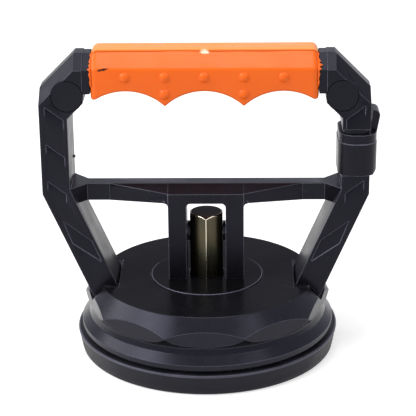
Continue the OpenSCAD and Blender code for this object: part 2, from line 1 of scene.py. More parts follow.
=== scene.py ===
"""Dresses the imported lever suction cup: finishes, rounded edges, the soft grip and the rubber pad.

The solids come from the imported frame. Each sub-assembly is a class that holds its sizes and builds
its pieces, either as surfaces worked out with numpy or as merged copies of the solids with rounded
edges. Sizes that end in _mm, and the fields of the classes, are in millimetres; the meshes are in
metres.
"""

from __future__ import annotations

import json
import logging
import math
from abc import ABC, abstractmethod
from collections.abc import Iterator, Mapping, Sequence
from contextlib import contextmanager
from dataclasses import dataclass
from enum import Enum
from typing import Any

import bmesh
import bpy
import numpy as np
from mathutils import Matrix, Vector

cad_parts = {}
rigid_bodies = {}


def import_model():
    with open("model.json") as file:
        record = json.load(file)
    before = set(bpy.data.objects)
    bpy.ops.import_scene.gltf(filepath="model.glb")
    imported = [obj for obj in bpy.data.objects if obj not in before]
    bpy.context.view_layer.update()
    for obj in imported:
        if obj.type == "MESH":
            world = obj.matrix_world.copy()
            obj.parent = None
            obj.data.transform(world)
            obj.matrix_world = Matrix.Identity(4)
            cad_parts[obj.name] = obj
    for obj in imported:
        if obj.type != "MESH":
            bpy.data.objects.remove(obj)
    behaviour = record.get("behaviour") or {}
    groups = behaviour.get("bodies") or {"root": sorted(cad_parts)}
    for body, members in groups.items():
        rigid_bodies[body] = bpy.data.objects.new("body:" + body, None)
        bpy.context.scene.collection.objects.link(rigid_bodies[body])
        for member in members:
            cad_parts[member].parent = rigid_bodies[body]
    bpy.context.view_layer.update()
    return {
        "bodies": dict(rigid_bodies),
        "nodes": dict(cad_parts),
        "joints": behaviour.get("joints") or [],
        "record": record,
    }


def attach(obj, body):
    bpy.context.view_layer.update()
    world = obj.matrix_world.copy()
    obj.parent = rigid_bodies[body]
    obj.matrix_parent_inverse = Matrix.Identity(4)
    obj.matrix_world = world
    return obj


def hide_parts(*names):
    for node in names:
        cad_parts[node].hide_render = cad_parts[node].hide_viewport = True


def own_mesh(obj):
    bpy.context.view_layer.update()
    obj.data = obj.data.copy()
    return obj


LOG = logging.getLogger("suction_cup")
MM = 0.001
MERGE = 1e-7  # Points of a computed mesh that are nearer than this are one point
SOLID_MERGE = 2e-6  # The same for a solid's mesh, whose faces are stored apart
FLAT = math.radians(0.6)  # Faces of a solid that turn by less than this become one face
SHARP = math.radians(32.0)  # Edges of a solid that turn by more than this are rounded
WAVE = 20.0  # The wave texture turns by this many radians for each unit of its scale
WHITE = "#ffffff"
MOULDED = "#e2e2ff"  # Tint of a moulded skin's sheen, and of a turned one's
TURNED = "#dedeff"

Colour = tuple[float, float, float, float]
Material = bpy.types.Material
Object = bpy.types.Object
Profile = Sequence[tuple[float, float]]
Socket = bpy.types.NodeSocket
Tree = bpy.types.NodeTree
Triple = tuple[float, float, float]


# ---------------------------------------------------------------- colours and nodes


def srgb(code: str) -> Colour:
    """Turn a hex colour into linear values.

    Each channel c becomes c / 12.92 up to 0.04045, and ((c + 0.055) / 1.055) to the 2.4 above it.

    Args:
        code: Six hex digits after a hash mark.

    Returns:
        Linear red, green and blue, and an alpha of one.
    """
    raw = np.array([int(code[i : i + 2], 16) / 255.0 for i in (1, 3, 5)])
    linear = np.where(raw <= 0.04045, raw / 12.92, ((raw + 0.055) / 1.055) ** 2.4)
    return (float(linear[0]), float(linear[1]), float(linear[2]), 1.0)


def per_metre(size_mm: float) -> float:
    """Texture scale at which one feature of a pattern is that many millimetres across."""
    return 1.0 / (size_mm * MM)


def put(
    tree: Tree, kind: str, feeds: Mapping[Any, Any] | None = None, **settings: Any
) -> bpy.types.Node:
    """Add a node with its settings and links.

    Args:
        tree: Tree that takes the node.
        kind: The node's type.
        feeds: For an input's name or number, a value to set or the output that is linked to it.
        settings: The node's own attributes.

    Returns:
        The node.
    """
    node = tree.nodes.new(kind)
    for key, value in settings.items():
        setattr(node, key, value)
    for key, value in (feeds or {}).items():
        if isinstance(value, Socket):
            tree.links.new(value, node.inputs[key])
        else:
            node.inputs[key].default_value = value
    return node


def empty_tree(block: bpy.types.Material | bpy.types.World) -> Tree:
    """Give a material or a world an empty node tree.

    Args:
        block: The material or world.

    Returns:
        The tree.
    """
    block.use_nodes = True
    block.node_tree.nodes.clear()
    return block.node_tree


def patches(
    tree: Tree,
    place: Socket,
    size_mm: float,
    levels: tuple[float, float],
    result: tuple[float, float] = (0.0, 1.0),
    detail: float = 2.0,
    crispness: float = 0.5,
) -> Socket:
    """Patches with soft rims: noise, of which what lies between two levels fills a range.

    Args:
        tree: The material's tree.
        place: Where the noise is read.
        size_mm: Size of a patch.
        levels: The noise's levels at the range's two ends.
        result: The range.
        detail: Finer layers of noise on the first.
        crispness: Weight of each finer layer.

    Returns:
        The value.
    """
    form = {"Scale": per_metre(size_mm), "Detail": detail, "Roughness": crispness}
    noise = put(tree, "ShaderNodeTexNoise", {"Vector": place, **form})
    limits = dict(zip(("From Min", "From Max", "To Min", "To Max"), (*levels, *result)))
    return put(tree, "ShaderNodeMapRange", {"Value": noise.outputs["Fac"], **limits}).outputs[0]


def coats(tree: Tree, colour: Colour, over: Sequence[tuple[Socket, str]]) -> Socket:
    """Colours laid over one another.

    Args:
        tree: The material's tree.
        colour: The first colour.
        over: Share and colour of each coat, from the lowest to the highest.

    Returns:
        The colour that is seen.
    """
    seen: Any = colour
    for share, code in over:
        mixed = put(tree, "ShaderNodeMix", {0: share, 6: seen, 7: srgb(code)}, data_type="RGBA")
        seen = mixed.outputs[2]
    return seen


def relief(
    tree: Tree,
    place: Socket,
    layers: Sequence[Triple],
    normal: Socket | None = None,
    detail: float = 2.0,
) -> Socket:
    """Layers of noise pressed into the surface, one on another.

    Args:
        tree: The material's tree.
        place: Where the noise is read.
        layers: Size in millimetres, depth in millimetres and strength of each layer.
        normal: Normal to start from, or none for the mesh's own.
        detail: Finer layers of noise in each.

    Returns:
        The normal.
    """
    for size_mm, deep_mm, strength in layers:
        form = {"Scale": per_metre(size_mm), "Detail": detail}
        noise = put(tree, "ShaderNodeTexNoise", {"Vector": place, **form})
        feeds = {"Height": noise.outputs["Fac"], "Distance": deep_mm * MM, "Strength": strength}
        if normal is not None:
            feeds["Normal"] = normal
        normal = put(tree, "ShaderNodeBump", feeds).outputs[0]
    return normal


# ---------------------------------------------------------------- finishes


@dataclass(frozen=True)
class Finish(ABC):
    """A finish: a name that says what it is and how its surface was made, and its sheen."""

    name: str
    specular: float = 0.5
    tint: str = WHITE
    rough: tuple[float, float] = (0.3, 0.5)

    def build(self) -> Material:
        """Make the material: its own layers, fed into one principled shader.

        Returns:
            The material.
        """
        material = bpy.data.materials.new(self.name)
        tree = empty_tree(material)
        place = put(tree, "ShaderNodeTexCoord").outputs["Object"]
        sheen = {"Specular IOR Level": self.specular, "Specular Tint": srgb(self.tint)}
        shader = put(tree, "ShaderNodeBsdfPrincipled", {**self.layers(tree, place), **sheen})
        put(tree, "ShaderNodeOutputMaterial", {"Surface": shader.outputs[0]})
        return material

    @abstractmethod
    def layers(self, tree: Tree, place: Socket) -> dict[str, Any]:
        """Make the finish's layers.

        Args:
            tree: The material's tree.
            place: Object coordinates.

        Returns:
            What the principled shader's inputs are set or linked to.
        """


@dataclass(frozen=True)
class MouldedPlastic(Finish):
    """Black nylon or ABS, injection moulded in a spark-eroded tool.

    The eye sees a deep black with a satin, slightly bluish sheen, faint flow marks along the parts
    and light dust specks. The real grain is 0.05 mm and would not show, so it is drawn 0.35 mm.
    """

    specular: float = 0.18
    tint: str = MOULDED
    rough: tuple[float, float] = (0.26, 0.4)
    dark: str = "#0e0e12"
    light: str = "#151519"
    dust: str = "#3c3c45"
    dust_share: float = 0.5
    flow_mm: float = 26.0
    flow_stretch: Triple = (1.0, 1.0, 0.35)
    speck_mm: float = 1.1
    smear_mm: float = 14.0
    wave: Triple = (24.0, 0.05, 0.4)
    grain: Triple = (0.35, 0.012, 0.6)
    # Painted highlight along the edges: its colour, the radius over which the normal is evened, and
    # its greatest share
    edge: str = "#7c7c8a"
    edge_mm: float = 0.55
    edge_highlight_share: float = 0.85
    # Cosine of the evened normal's turn where the painted edge highlight begins, and where it is
    # full
    edge_highlight_turn: tuple[float, float] = (0.985, 0.86)

    def layers(self, tree: Tree, place: Socket) -> dict[str, Any]:
        """Flow marks, dust and a painted edge highlight in the colour; smears in the roughness; fine
        relief.

        An edge is where the normal, evened out over the rounding's width, turns from the true one.

        Args:
            tree: The material's tree.
            place: Object coordinates.

        Returns:
            Base colour, roughness and normal.
        """
        along = put(tree, "ShaderNodeMapping", {"Vector": place, "Scale": self.flow_stretch})
        flow = patches(tree, along.outputs[0], self.flow_mm, (0.35, 0.7), (0.0, 1.0), 4.0, 0.6)
        dusty = patches(tree, place, self.speck_mm, (0.66, 0.8), (0.0, self.dust_share))
        bevel = put(tree, "ShaderNodeBevel", {"Radius": self.edge_mm * MM}, samples=6)
        rounded = bevel.outputs[0]
        pair = {0: rounded, 1: put(tree, "ShaderNodeNewGeometry").outputs["Normal"]}
        agree = put(tree, "ShaderNodeVectorMath", pair, operation="DOT_PRODUCT")
        begins, full = self.edge_highlight_turn
        limits = {"From Min": begins, "From Max": full, "To Max": self.edge_highlight_share}
        # The edges are painted lighter where the rounding turns: a painted highlight
        edge_highlight = put(tree, "ShaderNodeMapRange", {"Value": agree.outputs["Value"], **limits})
        layers = [(flow, self.light), (dusty, self.dust), (edge_highlight.outputs[0], self.edge)]
        return {
            "Base Color": coats(tree, srgb(self.dark), layers),
            "Roughness": patches(tree, place, self.smear_mm, (0.3, 0.75), self.rough, 5.0, 0.65),
            "Normal": relief(tree, place, [self.wave, self.grain], rounded),
        }


@dataclass(frozen=True)
class TurnedPlastic(Finish):
    """Black acetal or nylon, turned or polished: a gloss with rings and a faint haze.

    The eye sees mirror-like darks that waver slightly about the axis. Real lathe feed is 0.1 mm;
    the rings are drawn 5.655 mm apart, as the waves that a polished face keeps.
    """

    specular: float = 0.3
    tint: str = TURNED
    rough: tuple[float, float] = (0.14, 0.26)
    dark: str = "#0e0e11"
    light: str = "#16161a"
    haze_mm: float = 19.0
    ring_mm: float = 5.655
    ring_deep_mm: float = 0.004

    def layers(self, tree: Tree, place: Socket) -> dict[str, Any]:
        """Haze in colour and roughness; rings as waves of the distance from the axis.

        Args:
            tree: The material's tree.
            place: Object coordinates.

        Returns:
            Base colour, roughness and normal.
        """
        haze, rough = (
            patches(tree, place, self.haze_mm, levels, result, detail=5.0, crispness=0.6)
            for levels, result in (((0.0, 1.0), (0.0, 1.0)), ((0.3, 0.7), self.rough))
        )
        scale = 2 * math.pi * per_metre(self.ring_mm) / WAVE
        feeds = {"Vector": place, "Scale": scale, "Distortion": 0.4}
        about = {"wave_type": "RINGS", "rings_direction": "Z"}
        rings = put(tree, "ShaderNodeTexWave", feeds, **about).outputs["Fac"]
        depth = {"Distance": self.ring_deep_mm * MM, "Strength": 0.4}
        skin = put(tree, "ShaderNodeBump", {"Height": rings, **depth})
        return {
            "Base Color": coats(tree, srgb(self.dark), [(haze, self.light)]),
            "Roughness": rough,
            "Normal": skin.outputs[0],
        }


@dataclass(frozen=True)
class MouldedRubber(Finish):
    """Natural rubber, compression moulded: dull black with a pale bloom in patches.

    The eye sees a soft sheen that never gets sharp. Bloom patches are about 14 mm, and the skin's
    fine pits, 0.1 mm in truth, are drawn 0.5 mm.
    """

    specular: float = 0.2
    tint: str = MOULDED
    rough: tuple[float, float] = (0.42, 0.6)
    dark: str = "#111114"
    bloom: str = "#1b1b20"
    patch_mm: float = 14.0
    pits: Triple = (0.5, 0.012, 0.5)

    def layers(self, tree: Tree, place: Socket) -> dict[str, Any]:
        """Bloom in the colour and the roughness, pits in the normal.

        Args:
            tree: The material's tree.
            place: Object coordinates.

        Returns:
            Base colour, roughness and normal.
        """
        bloom, rough = (
            patches(tree, place, self.patch_mm, (0.4, 0.72), result, detail=5.0, crispness=0.62)
            for result in ((0.0, 1.0), self.rough)
        )
        return {
            "Base Color": coats(tree, srgb(self.dark), [(bloom, self.bloom)]),
            "Roughness": rough,
            "Normal": relief(tree, place, [self.pits]),
        }


@dataclass(frozen=True)
class SoftElastomer(Finish):
    """Orange thermoplastic elastomer, moulded over the core.

    The eye sees a saturated satin orange, mottled a little, with one dark scuff and a tear at the
    parting line; its lighter top is a painted sheen, the groove's dark a painted shade and the
    tear's pale fleck a painted glint. The mesh carries the top's and the groove's shares as point
    attributes. The skin's 0.1 mm matting is drawn 0.6 mm.
    """

    specular: float = 0.25
    rough: tuple[float, float] = (0.27, 0.42)
    light: str = "#f66e18"
    deep: str = "#ee6110"
    # Darker colour in the parting groove: painted shade
    groove: str = "#a83606"
    # Lighter colour on the flat top: a painted sheen
    top_sheen: str = "#ff9544"
    scuff: str = "#2e0f08"
    # Pale colour on the tear at the parting line: a painted glint
    tear_glint: str = "#ffe6c8"
    mottle_mm: float = 20.0
    smear_mm: float = 7.0
    matting: Triple = (0.6, 0.012, 0.4)
    dents: Triple = (15.0, 0.12, 0.35)
    scuff_at: Triple = (-44.2, -12.8, 135.5)
    scuff_half: Triple = (3.6, 2.5, 0.75)
    scuff_turn: float = -0.2
    scuff_rag_mm: float = 1.6
    torn_at: Triple = (0.1, -5.7, 141.8)
    torn_half: Triple = (3.1, 1.9, 1.3)
    torn_rag_mm: float = 1.0

    def spot(
        self, tree: Tree, place: Socket, centre: Triple, half: Triple, turn: float, rag_mm: float
    ) -> Socket:
        """Share of a ragged spot: one where an ellipsoid's distance plus noise stays low.

        The noise weighs 1.5. The share falls from one to nought where the sum passes 1.25 to 1.6.

        Args:
            tree: The material's tree.
            place: Object coordinates.
            centre: Middle of the spot, in millimetres.
            half: Half its size along each axis, in millimetres.
            turn: Its turn about Y, in radians.
            rag_mm: Size of the rags at its rim.

        Returns:
            The share, from nought to one.
        """
        frame = {
            "Vector": place,
            "Location": tuple(c * MM for c in centre),
            "Rotation": (0.0, turn, 0.0),
            "Scale": tuple(h * MM for h in half),
        }
        local = put(tree, "ShaderNodeMapping", frame, vector_type="TEXTURE")
        far = put(tree, "ShaderNodeVectorMath", {0: local.outputs[0]}, operation="LENGTH")
        feeds = {"Vector": place, "Scale": per_metre(rag_mm), "Detail": 4.0}
        rags = put(tree, "ShaderNodeTexNoise", feeds)
        parts = {0: rags.outputs["Fac"], 1: 1.5, 2: far.outputs["Value"]}
        edge = put(tree, "ShaderNodeMath", parts, operation="MULTIPLY_ADD")
        limits = {"From Min": 1.25, "From Max": 1.6, "To Min": 1.0, "To Max": 0.0}
        inside = put(tree, "ShaderNodeMapRange", {"Value": edge.outputs[0], **limits})
        return inside.outputs[0]

    def layers(self, tree: Tree, place: Socket) -> dict[str, Any]:
        """Mottle and scuff, with painted top sheen, groove shade and tear glint, in the colour;
        dents over a matt skin.

        Args:
            tree: The material's tree.
            place: Object coordinates.

        Returns:
            Base colour, roughness and normal.
        """
        top_sheen, groove = (
            put(tree, "ShaderNodeAttribute", attribute_name=name).outputs["Fac"]
            for name in ("top_sheen", "groove")
        )
        mottle = patches(tree, place, self.mottle_mm, (0.0, 1.0), detail=4.0, crispness=0.55)
        scuff, tear_glint = (
            self.spot(tree, place, *form)
            for form in (
                (self.scuff_at, self.scuff_half, self.scuff_turn, self.scuff_rag_mm),
                (self.torn_at, self.torn_half, 0.0, self.torn_rag_mm),
            )
        )
        # The top's sheen, the groove's shade and the tear's glint in these coats are painted light
        # and shade
        layers = [(mottle, self.deep), (top_sheen, self.top_sheen), (groove, self.groove)]
        layers += [(scuff, self.scuff), (tear_glint, self.tear_glint)]
        return {
            "Base Color": coats(tree, srgb(self.light), layers),
            "Roughness": patches(tree, place, self.smear_mm, (0.3, 0.7), self.rough, detail=4.0),
            "Normal": relief(tree, place, [self.matting, self.dents]),
        }


@dataclass(frozen=True)
class PlatedSteel(Finish):
    """Steel, drawn or turned, then zinc plated and passivated.

    The eye sees a dark or bright metal with lines along the bar, and patches where the passivation
    turned warmer or cooler. Real draw lines are 0.05 mm apart; they are drawn 0.45 mm.
    """

    rough: tuple[float, float] = (0.22, 0.38)
    base: str = "#a6a8ab"
    warm: str = "#b5b6b4"
    cool: str = "#8e9296"
    patch_mm: float = 11.0
    line_mm: float = 0.45
    line_deep_mm: float = 0.008
    along: Triple = (1.0, 1.0, 0.03)
    metallic: float = 1.0

    def layers(self, tree: Tree, place: Socket) -> dict[str, Any]:
        """Warm and cool patches in the colour, stretched lines in roughness and normal.

        Args:
            tree: The material's tree.
            place: Object coordinates.

        Returns:
            Base colour, roughness, normal and metallic share.
        """
        warm = patches(tree, place, self.patch_mm, (0.4, 0.62), detail=3.0)
        cool = patches(tree, place, self.patch_mm * 0.6, (0.52, 0.72), (0.0, 0.7))
        bar = put(tree, "ShaderNodeMapping", {"Vector": place, "Scale": self.along}).outputs[0]
        lines = (self.line_mm, self.line_deep_mm, 0.5)
        return {
            "Base Color": coats(tree, srgb(self.base), [(warm, self.warm), (cool, self.cool)]),
            "Roughness": patches(tree, bar, self.line_mm, (0.25, 0.75), self.rough, detail=3.0),
            "Normal": relief(tree, bar, [lines], detail=3.0),
            "Metallic": self.metallic,
        }


class Surface(Enum):
    """Every surface of the part that has a finish of its own."""

    FRAME = MouldedPlastic("glass_filled_nylon_moulded")
    PLUG = MouldedPlastic("glass_filled_nylon_pressed_plug", edge="#151519", edge_mm=0.08)
    # Lighter finish for the frame's rounded edges: a painted highlight
    FRAME_EDGE_HIGHLIGHT = MouldedPlastic(
        "glass_filled_nylon_painted_edge_highlight", 0.5, MOULDED, (0.3, 0.4), "#4c4c57", "#62626e"
    )
    HOUSING = MouldedPlastic(
        "abs_moulded_satin", 0.27, MOULDED, (0.2, 0.32), light="#141418", dust_share=0.35
    )
    HOUSING_TOP = MouldedPlastic(
        "abs_moulded_dulled_top", 0.02, MOULDED, (0.2, 0.34), "#101013", "#17171b", dust_share=0.6
    )
    # Lighter finish for two of the housing's rounded corners: a painted highlight
    HOUSING_EDGE_HIGHLIGHT = MouldedPlastic(
        "abs_painted_edge_highlight", 0.5, MOULDED, (0.26, 0.34), "#2c2c33", "#393942"
    )
    CLIP = MouldedPlastic(
        "polypropylene_moulded", 0.18, MOULDED, (0.26, 0.38), "#101013", "#17171b", dust_share=0.2
    )
    # Lighter finish for the clip's rounded edges: a painted highlight
    CLIP_EDGE_HIGHLIGHT = MouldedPlastic(
        "polypropylene_painted_edge_highlight", 0.5, MOULDED, (0.26, 0.34), "#28282f", "#363640"
    )
    DISC = TurnedPlastic("acetal_turned", 0.02, dark="#0c0c0e", light="#111113")
    # Lighter finish for the disc's rounded edge: a painted highlight
    DISC_EDGE_HIGHLIGHT = TurnedPlastic("acetal_painted_edge_highlight", 0.6, TURNED, (0.12, 0.2), "#3a3a44", "#50505c")
    SPACER = TurnedPlastic("nylon_turned_spacer", 0.3, TURNED, (0.3, 0.42), "#1b1b1f", "#26262b")
    PAD = MouldedRubber("natural_rubber_moulded")
    # Lighter finish for the flange's rounded rim: a painted highlight
    PAD_RIM_HIGHLIGHT = MouldedRubber(
        "natural_rubber_painted_rim_highlight", 0.5, MOULDED, (0.3, 0.4), "#34343b", "#44444d"
    )
    GRIP = SoftElastomer("orange_elastomer_overmoulded")
    STEM = PlatedSteel(
        "hex_bar_olive_passivated", 0.5, WHITE, (0.22, 0.34), "#454638", "#4c4537", "#383d33"
    )
    # Bright pale finish for the stem's rounded ridges: a painted highlight
    STEM_RIDGE_HIGHLIGHT = PlatedSteel(
        "hex_bar_painted_ridge_highlight", 0.5, WHITE, (0.16, 0.26), "#e2d8c6", "#eee0cc", "#cfcfc4"
    )
    STEM_END = PlatedSteel(
        "hex_bar_sawn_end", 0.04, WHITE, (0.4, 0.5), "#291a16", "#33201a", "#1c1413",
        line_mm=0.7, along=(1.0, 0.1, 1.0), metallic=0.0
    )
    ZINC = PlatedSteel("steel_zinc_plated")
    BRIGHT = PlatedSteel(
        "steel_ground_bright", base="#b9b9bd", warm="#c8c8ca", cool="#9c9ca2",
        along=(0.05, 1.0, 1.0)
    )


class Paint:
    """Builds each finish once and hands it out."""

    def __init__(self) -> None:
        """Make every finish."""
        self.held = {surface: surface.value.build() for surface in Surface}

    def of(self, surface: Surface) -> Material:
        """The material of that surface."""
        return self.held[surface]


# ---------------------------------------------------------------- meshes


@contextmanager
def editing(mesh: bpy.types.Mesh) -> Iterator[bmesh.types.BMesh]:
    """Open a mesh for editing, and write it back afterwards.

    Args:
        mesh: The mesh.

    Yields:
        Its editable form.
    """
    work = bmesh.new()
    work.from_mesh(mesh)
    yield work
    work.to_mesh(mesh)
    work.free()


def linked(name: str, data: bpy.types.ID) -> Object:
    """Put a new object with that data into the scene, at the origin.

    Args:
        name: Object name.
        data: Its mesh, lamp or camera data.

    Returns:
        The object.
    """
    made = bpy.data.objects.new(name, data)
    bpy.context.scene.collection.objects.link(made)
    return made


def mesh_object(
    name: str, points: np.ndarray, faces: np.ndarray | Sequence[Sequence[int]], smooth: bool = True
) -> Object:
    """Put computed points and faces into a new object at the origin.

    Args:
        name: Object name.
        points: Array of points, three numbers each, in metres.
        faces: Point numbers of each face, outside counter-clockwise.
        smooth: Whether faces shade smoothly.

    Returns:
        The linked object.
    """
    mesh = bpy.data.meshes.new(name)
    rows = faces.tolist() if isinstance(faces, np.ndarray) else list(faces)
    mesh.from_pydata(np.asarray(points, float).reshape(-1, 3), [], rows)
    set_faces(mesh, smooth)
    mesh.update()
    return linked(name, mesh)


def set_faces(mesh: bpy.types.Mesh, smooth: bool | None = None, slots: Any = None) -> None:
    """Set every face's shading and material slot.

    Args:
        mesh: The mesh.
        smooth: Whether faces shade smoothly, or none to leave them.
        slots: Slot of each face, one number for all, or none to leave them.
    """
    count = len(mesh.polygons)
    if smooth is not None:
        mesh.polygons.foreach_set("use_smooth", np.full(count, smooth))
    if slots is not None:
        filled = np.broadcast_to(slots, count).astype(np.int32)
        mesh.polygons.foreach_set("material_index", filled)


def points_of(mesh: bpy.types.Mesh) -> np.ndarray:
    """Read a mesh's points.

    Args:
        mesh: The mesh.

    Returns:
        One row for each point, in metres.
    """
    points = np.empty(len(mesh.vertices) * 3, np.float32)
    mesh.vertices.foreach_get("co", points)
    return points.reshape(-1, 3)


def grid_faces(rows: int, columns: int, close_rows: bool, close_columns: bool) -> np.ndarray:
    """Quads over a grid of points that is stored row by row.

    Args:
        rows: Number of rows of points.
        columns: Points in each row.
        close_rows: Join the last row to the first.
        close_columns: Join the last point of a row to its first.

    Returns:
        Four point numbers for each quad.
    """
    row = np.arange(rows if close_rows else rows - 1)[:, None]
    column = np.arange(columns if close_columns else columns - 1)[None, :]
    next_row = (row + 1) % rows
    next_column = (column + 1) % columns
    ring = ((row, column), (next_row, column), (next_row, next_column), (row, next_column))
    quads = [np.broadcast_to(r * columns + c, (row.size, column.size)) for r, c in ring]
    return np.stack(quads, -1).reshape(-1, 4)


def rounded_loop(corners: np.ndarray, radii: np.ndarray, steps: int) -> np.ndarray:
    """Round each corner of a closed outline with an arc that is tangent to both sides.

    The arc's centre lies on the corner's bisector, radius / sin(half angle) away, and the arc is
    swept between its two tangent points, as turned vectors about that centre.

    Args:
        corners: Outline corners, shape (..., n, 2).
        radii: Radius at each corner, shape (n,).
        steps: Parts in each arc.

    Returns:
        Points of the rounded outline, shape (..., n * (steps + 1), 2).
    """
    before = np.roll(corners, 1, axis=-2) - corners
    after = np.roll(corners, -1, axis=-2) - corners
    before = before / np.linalg.norm(before, axis=-1, keepdims=True)
    after = after / np.linalg.norm(after, axis=-1, keepdims=True)
    half = np.arccos(np.clip((before * after).sum(-1), -1, 1)) / 2
    half = np.clip(half, 1e-3, math.pi / 2 - 1e-3)[..., None]
    reach = radii[:, None] / np.tan(half)
    middle = before + after
    middle = middle / np.maximum(np.linalg.norm(middle, axis=-1, keepdims=True), 1e-9)
    centre = corners + middle * radii[:, None] / np.sin(half)
    start = corners + before * reach - centre
    end = corners + after * reach - centre
    sweep = (math.pi - 2 * half)[..., None, :]
    share = np.linspace(0, 1, steps + 1)[:, None]
    arc = np.sin((1 - share) * sweep) * start[..., None, :]
    arc = arc + np.sin(share * sweep) * end[..., None, :]
    points = centre[..., None, :] + arc / np.sin(sweep)
    return points.reshape(*corners.shape[:-2], -1, 2)


def turned(name: str, profile: Profile, segments: int) -> Object:
    """A surface of revolution about the Z axis.

    Each profile point (r, z) is carried round the axis: x = r cos a, y = r sin a.

    Args:
        name: Object name.
        profile: Radius and height of each point, in millimetres.
        segments: Parts round the axis.

    Returns:
        The linked object, its faces outwards.
    """
    line = np.asarray(profile, float) * MM
    angle = np.linspace(0, 2 * math.pi, segments, endpoint=False)[:, None]
    height = np.broadcast_to(line[:, 1], (segments, len(line)))
    points = np.stack([line[:, 0] * np.cos(angle), line[:, 0] * np.sin(angle), height], -1)
    made = mesh_object(name, points, grid_faces(segments, len(line), True, False))
    with editing(made.data) as work:
        bmesh.ops.remove_doubles(work, verts=work.verts, dist=MERGE)
        bmesh.ops.recalc_face_normals(work, faces=work.faces)
    return made


def settle(
    piece: Object,
    body: str,
    material: Material | None = None,
    replaced: Sequence[str] = (),
) -> None:
    """Finish a piece: its material, the body that it rides on and the solids that it stands for.

    Args:
        piece: The object.
        body: Body that carries it.
        material: Its one material, or none where it has its own.
        replaced: Solids that it stands for.
    """
    if material is not None:
        piece.data.materials.clear()
        piece.data.materials.append(material)
    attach(piece, body)
    if replaced:
        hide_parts(*replaced)
    LOG.info("%s rides on %s", piece.name, body)


@dataclass
class Assembly(ABC):
    """A sub-assembly: the loaded frame and the finishes, from which it builds its pieces."""

    frame: dict[str, Any]
    paint: Paint

    @abstractmethod
    def build(self) -> None:
        """Make the pieces."""

    def rounded(
        self, node: str, name: str, width: float, surfaces: Sequence[Surface], segments: int = 2
    ) -> Object:
        """A merged copy of a solid whose sharp edges are rounded.

        Args:
            node: Solid to copy.
            name: Name of the copy.
            width: Width of the rounding.
            surfaces: Finish of the faces, of the rounded edges (on most parts a lighter one, a
                painted highlight), and any more for later.
            segments: Parts across the rounding.

        Returns:
            The linked object, at the origin.
        """
        work = bmesh.new()
        work.from_mesh(self.frame["nodes"][node].data)
        bmesh.ops.remove_doubles(work, verts=work.verts, dist=SOLID_MERGE)
        flat = {"angle_limit": FLAT, "use_dissolve_boundaries": False}
        bmesh.ops.dissolve_limit(work, verts=work.verts, edges=work.edges, **flat)
        mesh = bpy.data.meshes.new(name)
        work.to_mesh(mesh)
        work.free()
        set_faces(mesh, True, 0)
        mesh.materials.clear()
        for surface in surfaces:
            mesh.materials.append(self.paint.of(surface))
        mesh.set_sharp_from_angle(angle=SHARP)
        made = linked(name, mesh)
        rounding = made.modifiers.new("rounding", "BEVEL")
        rounding.width = width * MM
        rounding.segments = segments
        rounding.limit_method = "ANGLE"
        rounding.angle_limit = SHARP
        rounding.use_clamp_overlap = rounding.harden_normals = True
        # The rounded edges take the second finish, on most parts a lighter one: a painted highlight
        rounding.material = 1
        rounding.miter_outer = "MITER_ARC"
        return made

    def dress(self, nodes: Sequence[str], surface: Surface) -> None:
        """Give solids that are shown as they are a better material in every slot.

        Args:
            nodes: The solids.
            surface: Their finish.
        """
        for node in nodes:
            for slot in self.frame["nodes"][node].material_slots:
                slot.material = self.paint.of(surface)
            LOG.info("%s keeps its solid", node)


# ---------------------------------------------------------------- base


